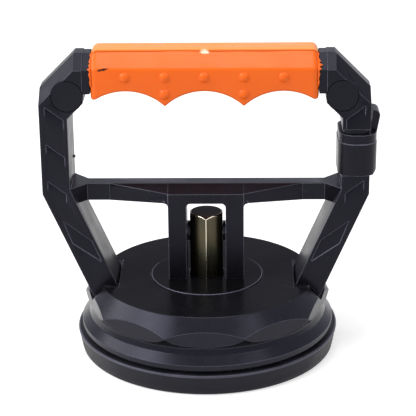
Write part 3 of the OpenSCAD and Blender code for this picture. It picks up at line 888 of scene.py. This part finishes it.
@dataclass
class Base(Assembly):
    """Rubber pad, housing and the disc on its top. A Profile lists radius and height."""

    segments: int = 192
    # Pad: sealing ring, flange, the step that carries the housing, and the hollow underneath
    seal_r: float = 59.0
    flange_r: float = 60.8
    flange_h: float = 9.9
    step_r: float = 57.0
    step_h: float = 11.7
    step_in: float = 40.0
    ring_in: float = 50.0
    hollow: float = 3.6
    groove_r: tuple[float, ...] = (38.0, 24.0)
    groove_deep: float = 0.12
    groove_half: float = 0.8
    # Housing: conical brow, upright scallop faces, and the tips between them
    top_r: float = 49.7
    top_z: float = 33.2
    slope: float = 1.1
    scallops: int = 10
    lobe_steps: int = 36
    scallop_r: float = 54.4
    tip_low: float = 20.9
    tip_rise: float = 3.8
    tip_power: float = 1.65
    tip_least: float = 0.35
    # Housing below the scallops: waist, ledge, lip, and down to the lip's foot
    skirt: Profile = (
        (54.2, 20.2), (55.3, 17.4), (58.8, 13.8), (58.8, 11.5), (58.3, 10.9), (57.4, 10.9),
        (57.4, 11.7),
    )
    # Housing inside: the hollow under its skirt, the floor of the disc's well and the tube's bore
    inside: Profile = (
        (47.0, 11.7), (47.0, 13.2), (38.5, 25.5), (37.0, 27.5), (17.0, 27.5), (17.0, 24.0),
        (12.7, 24.0), (12.7, 30.6), (26.2, 30.6),
    )
    # Rounding of the top's edge, the tips and the skirt; of the inside; of the well's edge
    outer_round: tuple[float, ...] = (0.5, 0.3, 0.25, 1.2, 0.6, 0.4, 0.3, 0.2)
    inner_round: float = 0.1
    well_round: float = 0.25
    round_steps: int = 3
    # Corners whose rounding gets a painted highlight: the brow's lower edge, and the lip's upper one
    highlit: tuple[int, ...] = (1, 5)
    sharp_from: float = math.radians(38.0)
    disc_edge: float = 0.4
    # Room for a swinging foot: distance from the pivot's axis, and distance along it
    pivot_z: float = 54.9
    swing_segments: int = 256
    swing: Profile = (
        (0.0, 40.4), (27.5, 40.4), (27.5, 47.2), (32.3, 52.3), (32.3, 52.9), (21.3, 57.6),
        (21.3, 73.8), (0.0, 73.8),
    )

    def build(self) -> None:
        """Make the base's pieces."""
        self.flange()
        self.membrane()
        self.housing()
        # The disc's rounded edge takes the lighter finish, a painted highlight
        gloss = (Surface.DISC, Surface.DISC_EDGE_HIGHLIGHT)
        disc = self.rounded("wear_disc", "wear_disc_top", self.disc_edge, gloss)
        settle(disc, "base", replaced=["wear_disc"])
        self.dress(("disc_ring", "return_spring"), Surface.BRIGHT)

    def section(self) -> tuple[np.ndarray, np.ndarray, np.ndarray]:
        """The housing's section at each angle round the axis.

        The brow is a cone, z = top - slope (r - top radius). A scallop's face is an upright flat,
        so at the angle f from its middle it stands at r = face / cos f. It runs from the brow down
        to the underside of the tips, which rises with a power of its share of the way out. Skirt
        and inside are the same all the way round.

        Returns:
            Angles, corners of the section at each of them, and the radius at each corner.
        """
        angle = np.linspace(0, 2 * math.pi, self.scallops * self.lobe_steps, endpoint=False)
        lobe = 2 * math.pi / self.scallops
        off = (angle + lobe / 2) % lobe - lobe / 2
        face = self.scallop_r / np.cos(off)
        brow = self.top_z - self.slope * (face - self.top_r)
        share = (face / self.scallop_r - 1) / (1 / math.cos(lobe / 2) - 1)
        tip = self.tip_low + self.tip_rise * share**self.tip_power
        top = (np.full_like(face, self.top_r), np.full_like(face, self.top_z))
        outer = [top, (face, brow), (face, np.minimum(tip, brow - self.tip_least))]
        even = [*self.skirt, *self.inside, (self.inside[-1][0], self.top_z)]
        rows = [np.broadcast_to(np.array(point), (len(angle), 2)) for point in even]
        corners = np.stack([np.stack(pair, -1) for pair in outer] + rows, 1)
        radii = np.full(corners.shape[1], self.inner_round)
        radii[: len(self.outer_round)] = self.outer_round
        radii[-1] = self.well_round
        return angle, corners, radii

    def housing(self) -> None:
        """The housing: its section carried round the axis, less the room that the feet swing in."""
        angle, corners, radii = self.section()
        loop = rounded_loop(corners, radii, self.round_steps)
        rows, columns = loop.shape[:2]
        turn = angle[:, None]
        points = [loop[..., 0] * np.sin(turn), -loop[..., 0] * np.cos(turn), loop[..., 1]]
        faces = grid_faces(rows, columns, True, True)
        shell = mesh_object("housing_shell", np.stack(points, -1) * MM, faces)
        corner, step = np.divmod(np.arange(len(faces)) % columns, self.round_steps + 1)
        # The listed corners' rounding takes the lighter finish, a painted highlight; the flat top
        # takes the third
        highlit = np.isin(corner, self.highlit) & (step < self.round_steps)
        top = (corner == len(radii) - 1) & (step == self.round_steps)
        set_faces(shell.data, slots=np.where(highlit, 1, np.where(top, 2, 0)))
        with editing(shell.data) as work:
            bmesh.ops.recalc_face_normals(work, faces=work.faces)
        for surface in (Surface.HOUSING, Surface.HOUSING_EDGE_HIGHLIGHT, Surface.HOUSING_TOP):
            shell.data.materials.append(self.paint.of(surface))
        self.cut(shell, [self.swing_room(side) for side in (-1.0, 1.0)])
        set_faces(shell.data, True)
        shell.data.set_sharp_from_angle(angle=self.sharp_from)
        even = shell.modifiers.new("even normals", "WEIGHTED_NORMAL")
        even.keep_sharp = True
        settle(shell, "base", replaced=["housing"])

    @staticmethod
    def cut(piece: Object, cutters: Sequence[Object]) -> None:
        """Cut forms out of a piece and remove them.

        Args:
            piece: The piece, which keeps the result as its mesh.
            cutters: The forms.
        """
        for cutter in cutters:
            cut = piece.modifiers.new("swing room", "BOOLEAN")
            cut.operation = "DIFFERENCE"
            cut.solver = "EXACT"
            cut.object = cutter
        seen = piece.evaluated_get(bpy.context.evaluated_depsgraph_get())
        solid = bpy.data.meshes.new_from_object(seen)
        piece.modifiers.clear()
        piece.data = solid
        for cutter in cutters:
            bpy.data.objects.remove(cutter)

    def swing_room(self, side: float) -> Object:
        """Room that a swinging foot needs: a turned form about the pivot's axis.

        Args:
            side: -1 for the left foot, 1 for the right one.

        Returns:
            The linked object.
        """
        name = f"swing_room_{'left' if side < 0 else 'right'}"
        room = turned(name, self.swing, self.swing_segments)
        points = points_of(room.data)[:, [2, 0, 1]] * np.array([side, 1, 1])
        points = points + np.array([0, 0, self.pivot_z * MM])
        room.data.vertices.foreach_set("co", points.astype(np.float32).ravel())
        with editing(room.data) as work:
            bmesh.ops.recalc_face_normals(work, faces=work.faces)
        return room

    def flange(self) -> None:
        """The pad's flange, flank and top: a turned profile with rounded lips."""
        s, f, h = self.seal_r, self.flange_r, self.flange_h
        sole = [(self.ring_in, 0.02), (self.ring_in + 0.6, 0.0), (s - 1.0, 0.0), (s - 0.35, 0.12)]
        flank = [(s + (f - s) * share, h * share) for share in (0.3, 0.72)]
        rim = [(f - 0.05, h - 1.0), (f, h - 0.6), (f - 0.12, h - 0.22), (f - 0.4, h - 0.04)]
        step = [(self.step_r + 0.3, h), (self.step_r, h + 0.3)]
        step += [(r, self.step_h - 0.02) for r in (self.step_r, self.step_in)]
        profile = [*sole, (s, 0.5), *flank, *rim, (f - 0.8, h), *step]
        pad = turned("pad_flange", profile, self.segments)
        middles = np.array([face.center for face in pad.data.polygons]) / MM
        # Faces on the flange's rounded rim take the lighter finish, a painted highlight
        lip = (np.hypot(middles[:, 0], middles[:, 1]) > f - 0.7) & (middles[:, 2] > h - 0.8)
        settle(pad, "base", self.paint.of(Surface.PAD), ["suction_pad"])
        pad.data.materials.append(self.paint.of(Surface.PAD_RIM_HIGHLIGHT))
        set_faces(pad.data, slots=lip)

    def membrane(self) -> None:
        """The pad's hollow underside: z = hollow (1 - (r / ring)^2), with two shallow grooves.

        It rides on the base and keeps its shape, though the real middle of the pad is let down as
        the stem drops.
        """
        r = np.linspace(self.ring_in, 0.0, 60)
        z = self.hollow * (1 - (r / self.ring_in) ** 2)
        for groove in self.groove_r:
            z = z - self.groove_deep * np.exp(-(((r - groove) / self.groove_half) ** 2))
        skin = turned("pad_membrane", list(zip(r, np.maximum(z, 0.02))), self.segments)
        with editing(skin.data) as work:
            work.normal_update()
            if sum(face.normal.z for face in work.faces) > 0:
                bmesh.ops.reverse_faces(work, faces=work.faces)
        settle(skin, "base", self.paint.of(Surface.PAD), ["suction_pad"])
        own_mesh(skin)


# ---------------------------------------------------------------- grip


@dataclass
class Grip(Assembly):
    """The orange finger grip: a sleeve with a stepped top, three scallops and raised dots."""

    half_length: float = 50.5
    half_depth: float = 12.8
    # Flat top's height and its reach to the front and to the back, and the bevel's foot below it
    top: float = 142.6
    flat: float = 4.7
    back_flat: float = 6.6
    brow: float = 135.6
    # Scallops: height of their crests, radius, distance apart, and the cusps' rounding
    crest: float = 125.3
    finger_r: float = 25.4
    pitch: float = 35.0
    cusp: float = 1.6
    # Ends: their rounding, and how much of it the brow's height and the flat's reach follow
    end_round: float = 2.8
    brow_follows: float = 0.35
    flat_follows: float = 0.45
    # Step beside the flat: its height, how that wavers (height, length, phase), and its groove
    step_h: float = 0.95
    waver: tuple[Triple, ...] = ((0.1, 9.0, 0.0), (0.08, 4.0, 1.0))
    groove_lip: float = 0.1
    groove_deep: float = 0.3
    # Rounding of the corners from the back's foot over the top to the front's foot
    rounding: tuple[float, ...] = (1.2, 2.2, 0.2, 0.12, 0.35, 0.35, 0.12, 0.2, 2.2, 1.2)
    round_steps: int = 5
    # Corners of the groove, with the share of painted shade that it gets, and the corners that bound
    # the flat top, which gets a painted sheen
    groove_corners: tuple[int, ...] = (3, 6)
    groove_shade_share: float = 0.75
    top_corners: tuple[int, int] = (4, 6)
    # Dots: radius, height, their skirt's reach (share of the radius) and depth, and their rows
    dot_r: float = 2.4
    dot_h: float = 1.25
    dot_skirt: float = 1.25
    dot_sink: float = 0.2
    dot_z: tuple[float, float] = (131.8, 124.1)
    # Flash: thickness, its way down the core (share, depth, height), and its four tongues (share
    # of the way, spread, and reach at the left and the right end)
    flash_t: float = 0.25
    flash_way: tuple[Triple, ...] = ((0.0, -4.6, 140.6), (0.55, -11.9, 134.9), (1.0, -12.1, 127.5))
    flash_at: tuple[float, ...] = (0.27, 0.4, 0.52, 0.66)
    flash_spread: tuple[float, ...] = (0.035, 0.045, 0.03, 0.04)
    flash_left: tuple[float, ...] = (0.5, 0.3, 0.9, 0.5)
    flash_right: tuple[float, ...] = (0.8, 1.5, 1.0, 0.4)
    flash_under: float = 0.6
    flash_least: float = 0.1
    flash_ripple: float = 0.12

    def build(self) -> None:
        """Make the sleeve with its dots as one piece, and the flash at its ends."""
        body = self.sleeve()
        self.merge([body, self.dots()])
        orange = self.paint.of(Surface.GRIP)
        settle(body, "lever", orange, ["grip_sleeve"])
        for side, name in ((-1.0, "left"), (1.0, "right")):
            settle(self.flash(side, f"grip_flash_{name}"), "lever", orange)

    def underside(self, x: np.ndarray) -> np.ndarray:
        """Height of the underside: circular scallops one pitch apart, their cusps rounded off.

        Each scallop is crest - R + sqrt(R^2 - d^2), with d the distance to the nearest crest. The
        cusps are rounded by averaging the curve over a short window.

        Args:
            x: Places along the grip.

        Returns:
            The height at each.
        """
        fine, spacing = np.linspace(-60, 60, 4801, retstep=True)
        offset = fine - self.pitch * np.clip(np.round(fine / self.pitch), -1, 1)
        low = self.crest - self.finger_r + np.sqrt(np.maximum(self.finger_r**2 - offset**2, 30.0))
        window = np.hanning(round(self.cusp / spacing) + 1)
        smooth = np.convolve(low, window / window.sum(), mode="same")
        return np.interp(x, fine, smooth)

    def sleeve(self) -> Object:
        """The sleeve: one rounded section carried along X, drawn in at its rounded ends.

        The section has a flat top, a small upright step with a groove at its foot, a bevel and an
        upright side. The step's height wavers by a tenth of a millimetre along the grip, and the
        ends follow a quarter circle.

        Returns:
            The object, with the share of the groove's painted shade and of the top's painted sheen
            as point attributes.
        """
        turn = np.linspace(0, math.pi / 2, 7)
        straight = self.half_length - self.end_round
        end = straight + self.end_round * np.sin(turn)
        inset_end = self.end_round * (1 - np.cos(turn))
        middle = np.linspace(-straight, straight, 260)[1:-1]
        x = np.concatenate([-end[::-1], middle, end])
        inset = np.concatenate([inset_end[::-1], np.zeros(len(middle)), inset_end])
        foot, top = self.underside(x) + inset, self.top - inset
        brow = self.brow - self.brow_follows * inset
        waves = (high * np.sin(x / long + phase) for high, long, phase in self.waver)
        step = sum(waves, self.step_h)
        sides = []
        for sign, half in ((1, self.back_flat), (-1, self.flat)):
            deep, flat = self.half_depth - inset, half - self.flat_follows * inset
            lip = flat + (deep - flat) / (top - brow) * (step - self.groove_lip)
            side = [(deep, foot), (deep, brow), (lip, top - step + self.groove_lip)]
            side += [(flat + self.groove_deep, top - step - self.groove_deep), (flat, top)]
            sides += [np.stack([sign * y, z], -1) for y, z in side[::sign]]
        corners = np.stack(sides, -2)
        loop = rounded_loop(corners, np.array(self.rounding), self.round_steps)
        rows, columns = loop.shape[:2]
        along = np.broadcast_to(x[:, None, None], (rows, columns, 1))
        ring = np.arange(columns)
        caps = [ring.tolist(), ((rows - 1) * columns + ring[::-1]).tolist()]
        faces = grid_faces(rows, columns, False, True).tolist() + caps
        body = mesh_object("grip_skin", np.concatenate([along, loop], -1) * MM, faces)
        corner = ring // (self.round_steps + 1)
        first, last = self.top_corners
        # Point shares of the groove's painted shade and of the flat top's painted sheen
        shares = {
            "groove": np.isin(corner, self.groove_corners) * self.groove_shade_share,
            "top_sheen": (corner >= first) & (corner < last),
        }
        for name, share in shares.items():
            mark = body.data.attributes.new(name, "FLOAT", "POINT")
            mark.data.foreach_set("value", np.tile(share.astype(np.float32), rows))
        return body

    def dots(self) -> Object:
        """Raised dots on both faces: height h (1 - t^2)^0.9 over the share t of the radius.

        Returns:
            The object.
        """
        share = np.linspace(0, self.dot_skirt, 11)[:, None]
        angle = np.linspace(0, 2 * math.pi, 28, endpoint=False)[None, :]
        dome = self.dot_h * (1 - np.minimum(share, 1) ** 2) ** 0.9
        sunk = -self.dot_sink * (share - 1) / (self.dot_skirt - 1)
        rise = np.where(share < 1, dome, sunk)
        rows = ((range(-2, 3), self.dot_z[0]), ((-1, 1), self.dot_z[1]))
        centres = [(i * self.pitch / 2, height) for places, height in rows for i in places]
        spots = np.array([(x, z, side) for side in (-1.0, 1.0) for x, z in centres])
        spots = spots[:, None, None, :]
        x = spots[..., 0] + self.dot_r * share * np.cos(angle)
        z = spots[..., 1] + self.dot_r * share * np.sin(angle)
        y = spots[..., 2] * (self.half_depth + np.broadcast_to(rise, x.shape))
        cells = grid_faces(share.size, angle.size, False, True)
        count = share.size * angle.size
        faces = np.concatenate([cells + i * count for i in range(len(spots))])
        made = mesh_object("grip_dots", np.stack([x, y, z], -1) * MM, faces)
        with editing(made.data) as work:
            bmesh.ops.remove_doubles(work, verts=work.verts, dist=MERGE)
            for face in work.faces:
                if face.normal.y * face.calc_center_median().y < 0:
                    face.normal_flip()
        return made

    def flash(self, side: float, name: str) -> Object:
        """A ragged rim of moulding flash that crept over the core beside the shoulder.

        It follows the core's bevel and upper side. Its reach is a sum of four bell curves of the
        place along its way, and a slight ripple.

        Args:
            side: -1 for the left end, 1 for the right one.
            name: Name of the piece.

        Returns:
            The linked object.
        """
        run = np.linspace(0, 1, 60)
        share, depth, height = np.array(self.flash_way).T
        y, z = np.interp(run, share, depth), np.interp(run, share, height)
        reaches = self.flash_right if side > 0 else self.flash_left
        tongues = np.array([self.flash_at, self.flash_spread, reaches])[:, :, None]
        at, spread, size = tongues
        reach = self.flash_least + (size * np.exp(-(((run - at) / spread) ** 2))).sum(0)
        reach = reach + self.flash_ripple * np.sin(run * 37)
        inner = np.full_like(run, side * (self.half_length - self.flash_under))
        outer = side * (self.half_length + reach)
        lift = self.flash_t
        raised = (y - lift, z + lift)
        rows = [(inner, y, z), (inner, *raised), (outer - side * 0.1, *raised), (outer, y, z)]
        points = np.stack([np.stack(row, -1) for row in rows], 1) * MM
        made = mesh_object(name, points, grid_faces(len(run), len(rows), False, True))
        with editing(made.data) as work:
            bmesh.ops.holes_fill(work, edges=work.edges, sides=4)
            bmesh.ops.recalc_face_normals(work, faces=work.faces)
        return made

    @staticmethod
    def merge(pieces: Sequence[Object]) -> None:
        """Join the pieces into the first one.

        Args:
            pieces: The pieces.
        """
        bpy.ops.object.select_all(action="DESELECT")
        for piece in pieces:
            piece.select_set(True)
        bpy.context.view_layer.objects.active = pieces[0]
        bpy.ops.object.join()


# ---------------------------------------------------------------- lever, stem and clip


@dataclass
class Lever(Assembly):
    """The frame's shells, its core and plugs, each a solid with rounded edges, and its screws."""

    edge: float = 0.45
    small_edge: float = 0.15
    shells: tuple[str, ...] = ("frame_front", "rear_cover_left", "rear_cover_right")
    small: tuple[str, ...] = ("grip_core", "corner_plug_left", "corner_plug_right")
    nub_at: Triple = (-61.3, 8.0, 88.6)
    nub_r: float = 0.8
    nub_stretch: float = 1.3
    plug_at: tuple[float, float] = (61.0, 123.0)
    plug_r: float = 7.35
    plug_inner_r: float = 6.0

    def build(self) -> None:
        """Make the lever's pieces."""
        for node in self.shells:
            # The shells' rounded edges take the lighter finish, a painted highlight
            black = (Surface.FRAME, Surface.FRAME_EDGE_HIGHLIGHT)
            piece = self.rounded(node, f"{node}_shell", self.edge, black)
            settle(piece, "lever", replaced=[node])
        for node in self.small:
            plain = (Surface.PLUG, Surface.PLUG)
            piece = self.rounded(node, f"{node}_skin", self.small_edge, plain)
            if "plug" in node:
                self.widen(piece, -1.0 if "left" in node else 1.0)
            settle(piece, "lever", replaced=[node])
        settle(self.nub(), "lever", self.paint.of(Surface.FRAME))
        self.dress(("corner_screws", "cover_screws"), Surface.BRIGHT)

    def widen(self, plug: Object, side: float) -> None:
        """Widen a plug's rim to the rounded rim of its hole, so that only a fine line is left.

        Args:
            plug: The plug.
            side: -1 for the left one, 1 for the right one.
        """
        points = points_of(plug.data)
        centre = np.array([side * self.plug_at[0], self.plug_at[1]]) * MM
        away = points[:, [0, 2]] - centre
        far = np.linalg.norm(away, axis=1, keepdims=True)
        growth = self.plug_r * MM / np.maximum(far, 1e-6)
        points[:, [0, 2]] = centre + away * np.where(far > self.plug_inner_r * MM, growth, 1.0)
        plug.data.vertices.foreach_set("co", points.ravel())

    def nub(self) -> Object:
        """The moulding gate's nub on the left arm: a half ball, stretched along X.

        Returns:
            The linked object.
        """
        rise = np.linspace(0, math.pi / 2, 7)[:, None]
        angle = np.linspace(0, 2 * math.pi, 16, endpoint=False)[None, :]
        ring = np.cos(rise)
        ball = [np.sin(rise) + 0 * angle, ring * np.cos(angle), ring * np.sin(angle)]
        size = np.array([self.nub_stretch, 1.0, 1.0]) * self.nub_r
        points = np.array(self.nub_at) + size * np.stack(ball, -1)
        made = mesh_object("gate_nub", points * MM, grid_faces(7, 16, False, True))
        with editing(made.data) as work:
            bmesh.ops.remove_doubles(work, verts=work.verts, dist=MERGE)
            bmesh.ops.holes_fill(work, edges=work.edges, sides=16)
            bmesh.ops.recalc_face_normals(work, faces=work.faces)
        return made


@dataclass
class Stem(Assembly):
    """Hex stem, its pin, spacers and the hidden stud, plate and washer."""

    ridge: float = 0.55
    pin_edge: float = 0.4
    least_rise: float = 0.2

    def build(self) -> None:
        """Make the stem's pieces."""
        # The stem's rounded ridges take the bright second finish, a painted highlight
        olive = (Surface.STEM, Surface.STEM_RIDGE_HIGHLIGHT, Surface.STEM_END)
        stem = self.rounded("hex_stem", "hex_stem_body", self.ridge, olive, 3)
        self.brown_end(stem)
        settle(stem, "stem", replaced=["hex_stem"])
        bright = (Surface.BRIGHT, Surface.BRIGHT)
        pin = self.rounded("pivot_pin", "pivot_pin_body", self.pin_edge, bright)
        settle(pin, "stem", replaced=["pivot_pin"])
        self.dress(("shim_left", "shim_right"), Surface.SPACER)
        self.dress(("pad_plate", "pad_stud", "stem_washer"), Surface.ZINC)

    def brown_end(self, stem: Object) -> None:
        """Give the stem's sawn end, and the chamfer round it, the third finish.

        Args:
            stem: The stem.
        """
        normals = np.empty(len(stem.data.polygons) * 3, np.float32)
        stem.data.polygons.foreach_get("normal", normals)
        set_faces(stem.data, slots=2 * (normals.reshape(-1, 3)[:, 2] > self.least_rise))


@dataclass
class Clip(Assembly):
    """Collar and tongue on the right arm."""

    edge: float = 0.5

    def build(self) -> None:
        """Make the clip's pieces."""
        # The clip's rounded edges take the lighter finish, a painted highlight
        black = (Surface.CLIP, Surface.CLIP_EDGE_HIGHLIGHT)
        for node, carrier in (("clip_collar", "lever"), ("clip_tongue", "clip")):
            piece = self.rounded(node, f"{node}_body", self.edge, black, segments=3)
            settle(piece, carrier, replaced=[node])
        self.dress(("clip_pin",), Surface.BRIGHT)


# ---------------------------------------------------------------- studio


@dataclass
class Studio:
    """Floor, world, soft lamps and the camera. Lengths in metres."""

    place: Triple = (0.016749, -0.671790, 0.320000)
    pitch: float = 69.28
    heading: float = 1.36
    roll: float = -0.60
    lens: float = 134.74
    ambient: float = 0.4
    mirror: float = 0.8
    cool: str = "#eeefff"
    floor_half: float = 3.0
    floor_drop: float = 0.0003
    floor_glow: float = 0.5
    floor_colour: str = "#e6e6e6"
    aim: Triple = (0.0, 0.0, 0.07)
    # Name, place, side and power of each lamp
    lamps: tuple[tuple[str, Triple, float, float], ...] = (
        ("key", (-0.76, -0.42, 0.7), 0.6, 6.2),
        ("side", (-0.85, 0.16, 0.7), 0.5, 3.2),
        ("fill", (0.62, -0.55, 0.72), 0.45, 1.8),
        ("top", (0.0, -0.1, 1.1), 0.6, 4.5),
    )

    def build(self) -> None:
        """Set up everything that isn't part of the object."""
        self.camera()
        self.floor()
        self.world()
        for name, place, size, watts in self.lamps:
            self.lamp(name, place, size, watts)

    def camera(self) -> None:
        """Camera with a 36 mm wide sensor, turned by roll, then pitch, then heading."""
        data = bpy.data.cameras.new("camera")
        data.sensor_width = 36.0
        data.lens = self.lens
        made = linked("camera", data)
        turn = Matrix.Identity(4)
        for angle, axis in ((self.heading, "Z"), (self.pitch, "X"), (self.roll, "Z")):
            turn = turn @ Matrix.Rotation(math.radians(angle), 4, axis)
        made.matrix_world = Matrix.Translation(self.place) @ turn
        bpy.context.scene.camera = made

    @staticmethod
    def rays(tree: Tree) -> tuple[Socket, Socket, Socket]:
        """Which rays ask.

        Args:
            tree: Tree that takes the nodes.

        Returns:
            One for the camera's own rays, one for mirrored rays, and one for those and rays that
            pass through glass.
        """
        seen = put(tree, "ShaderNodeLightPath").outputs
        glossy = seen["Is Glossy Ray"]
        through = {0: glossy, 1: seen["Is Transmission Ray"]}
        bent = put(tree, "ShaderNodeMath", through, operation="MAXIMUM").outputs[0]
        return seen["Is Camera Ray"], glossy, bent

    def floor(self) -> None:
        """A plain pale floor that shows white to the camera and keeps the shadow."""
        square = np.array([(-1, -1, 0), (1, -1, 0), (1, 1, 0), (-1, 1, 0)]) * self.floor_half
        corners = square - np.array([0, 0, self.floor_drop])
        made = mesh_object("floor", corners, [[0, 1, 2, 3]], smooth=False)
        material = bpy.data.materials.new("pale_floor")
        tree = empty_tree(material)
        camera, _, bent = self.rays(tree)
        shown = put(tree, "ShaderNodeMath", {0: camera, 1: bent}, operation="MAXIMUM").outputs[0]
        level = put(tree, "ShaderNodeMath", {0: shown, 1: self.floor_glow}, operation="MULTIPLY")
        light = {"Color": srgb(WHITE), "Strength": level.outputs[0]}
        glow = put(tree, "ShaderNodeEmission", light)
        plain = put(tree, "ShaderNodeBsdfDiffuse", {"Color": srgb(self.floor_colour)})
        both = put(tree, "ShaderNodeAddShader", {0: plain.outputs[0], 1: glow.outputs[0]})
        put(tree, "ShaderNodeOutputMaterial", {"Surface": both.outputs[0]})
        made.data.materials.append(material)

    def world(self) -> None:
        """White to the camera and in reflections, and a soft even light besides."""
        world = bpy.data.worlds.new("studio")
        bpy.context.scene.world = world
        tree = empty_tree(world)
        camera, glossy, bent = self.rays(tree)
        limits = {"To Min": self.ambient, "To Max": self.mirror}
        gloss = put(tree, "ShaderNodeMapRange", {"Value": bent, **limits}).outputs[0]
        level = put(tree, "ShaderNodeMath", {0: gloss, 1: camera}, operation="MAXIMUM").outputs[0]
        colour = coats(tree, srgb(WHITE), [(glossy, self.cool)])
        back = put(tree, "ShaderNodeBackground", {"Color": colour, "Strength": level})
        put(tree, "ShaderNodeOutputWorld", {"Surface": back.outputs[0]})

    def lamp(self, name: str, place: Triple, size: float, watts: float) -> None:
        """A square soft lamp that faces the object.

        Args:
            name: Name of the lamp.
            place: Where it stands.
            size: Length of its side.
            watts: Its power.
        """
        data = bpy.data.lights.new(name, "AREA")
        data.size = size
        data.energy = watts
        way = (Vector(self.aim) - Vector(place)).to_track_quat("-Z", "Y")
        linked(name, data).matrix_world = Matrix.Translation(place) @ way.to_matrix().to_4x4()


def main() -> None:
    """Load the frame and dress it."""
    logging.basicConfig(level=logging.INFO, format="%(name)s: %(message)s")
    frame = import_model()
    bpy.context.scene.view_settings.view_transform = "Standard"
    Studio().build()
    paint = Paint()
    for assembly in (Base, Stem, Lever, Grip, Clip):
        assembly(frame, paint).build()
    bpy.context.view_layer.update()


if __name__ == "__main__":
    main()
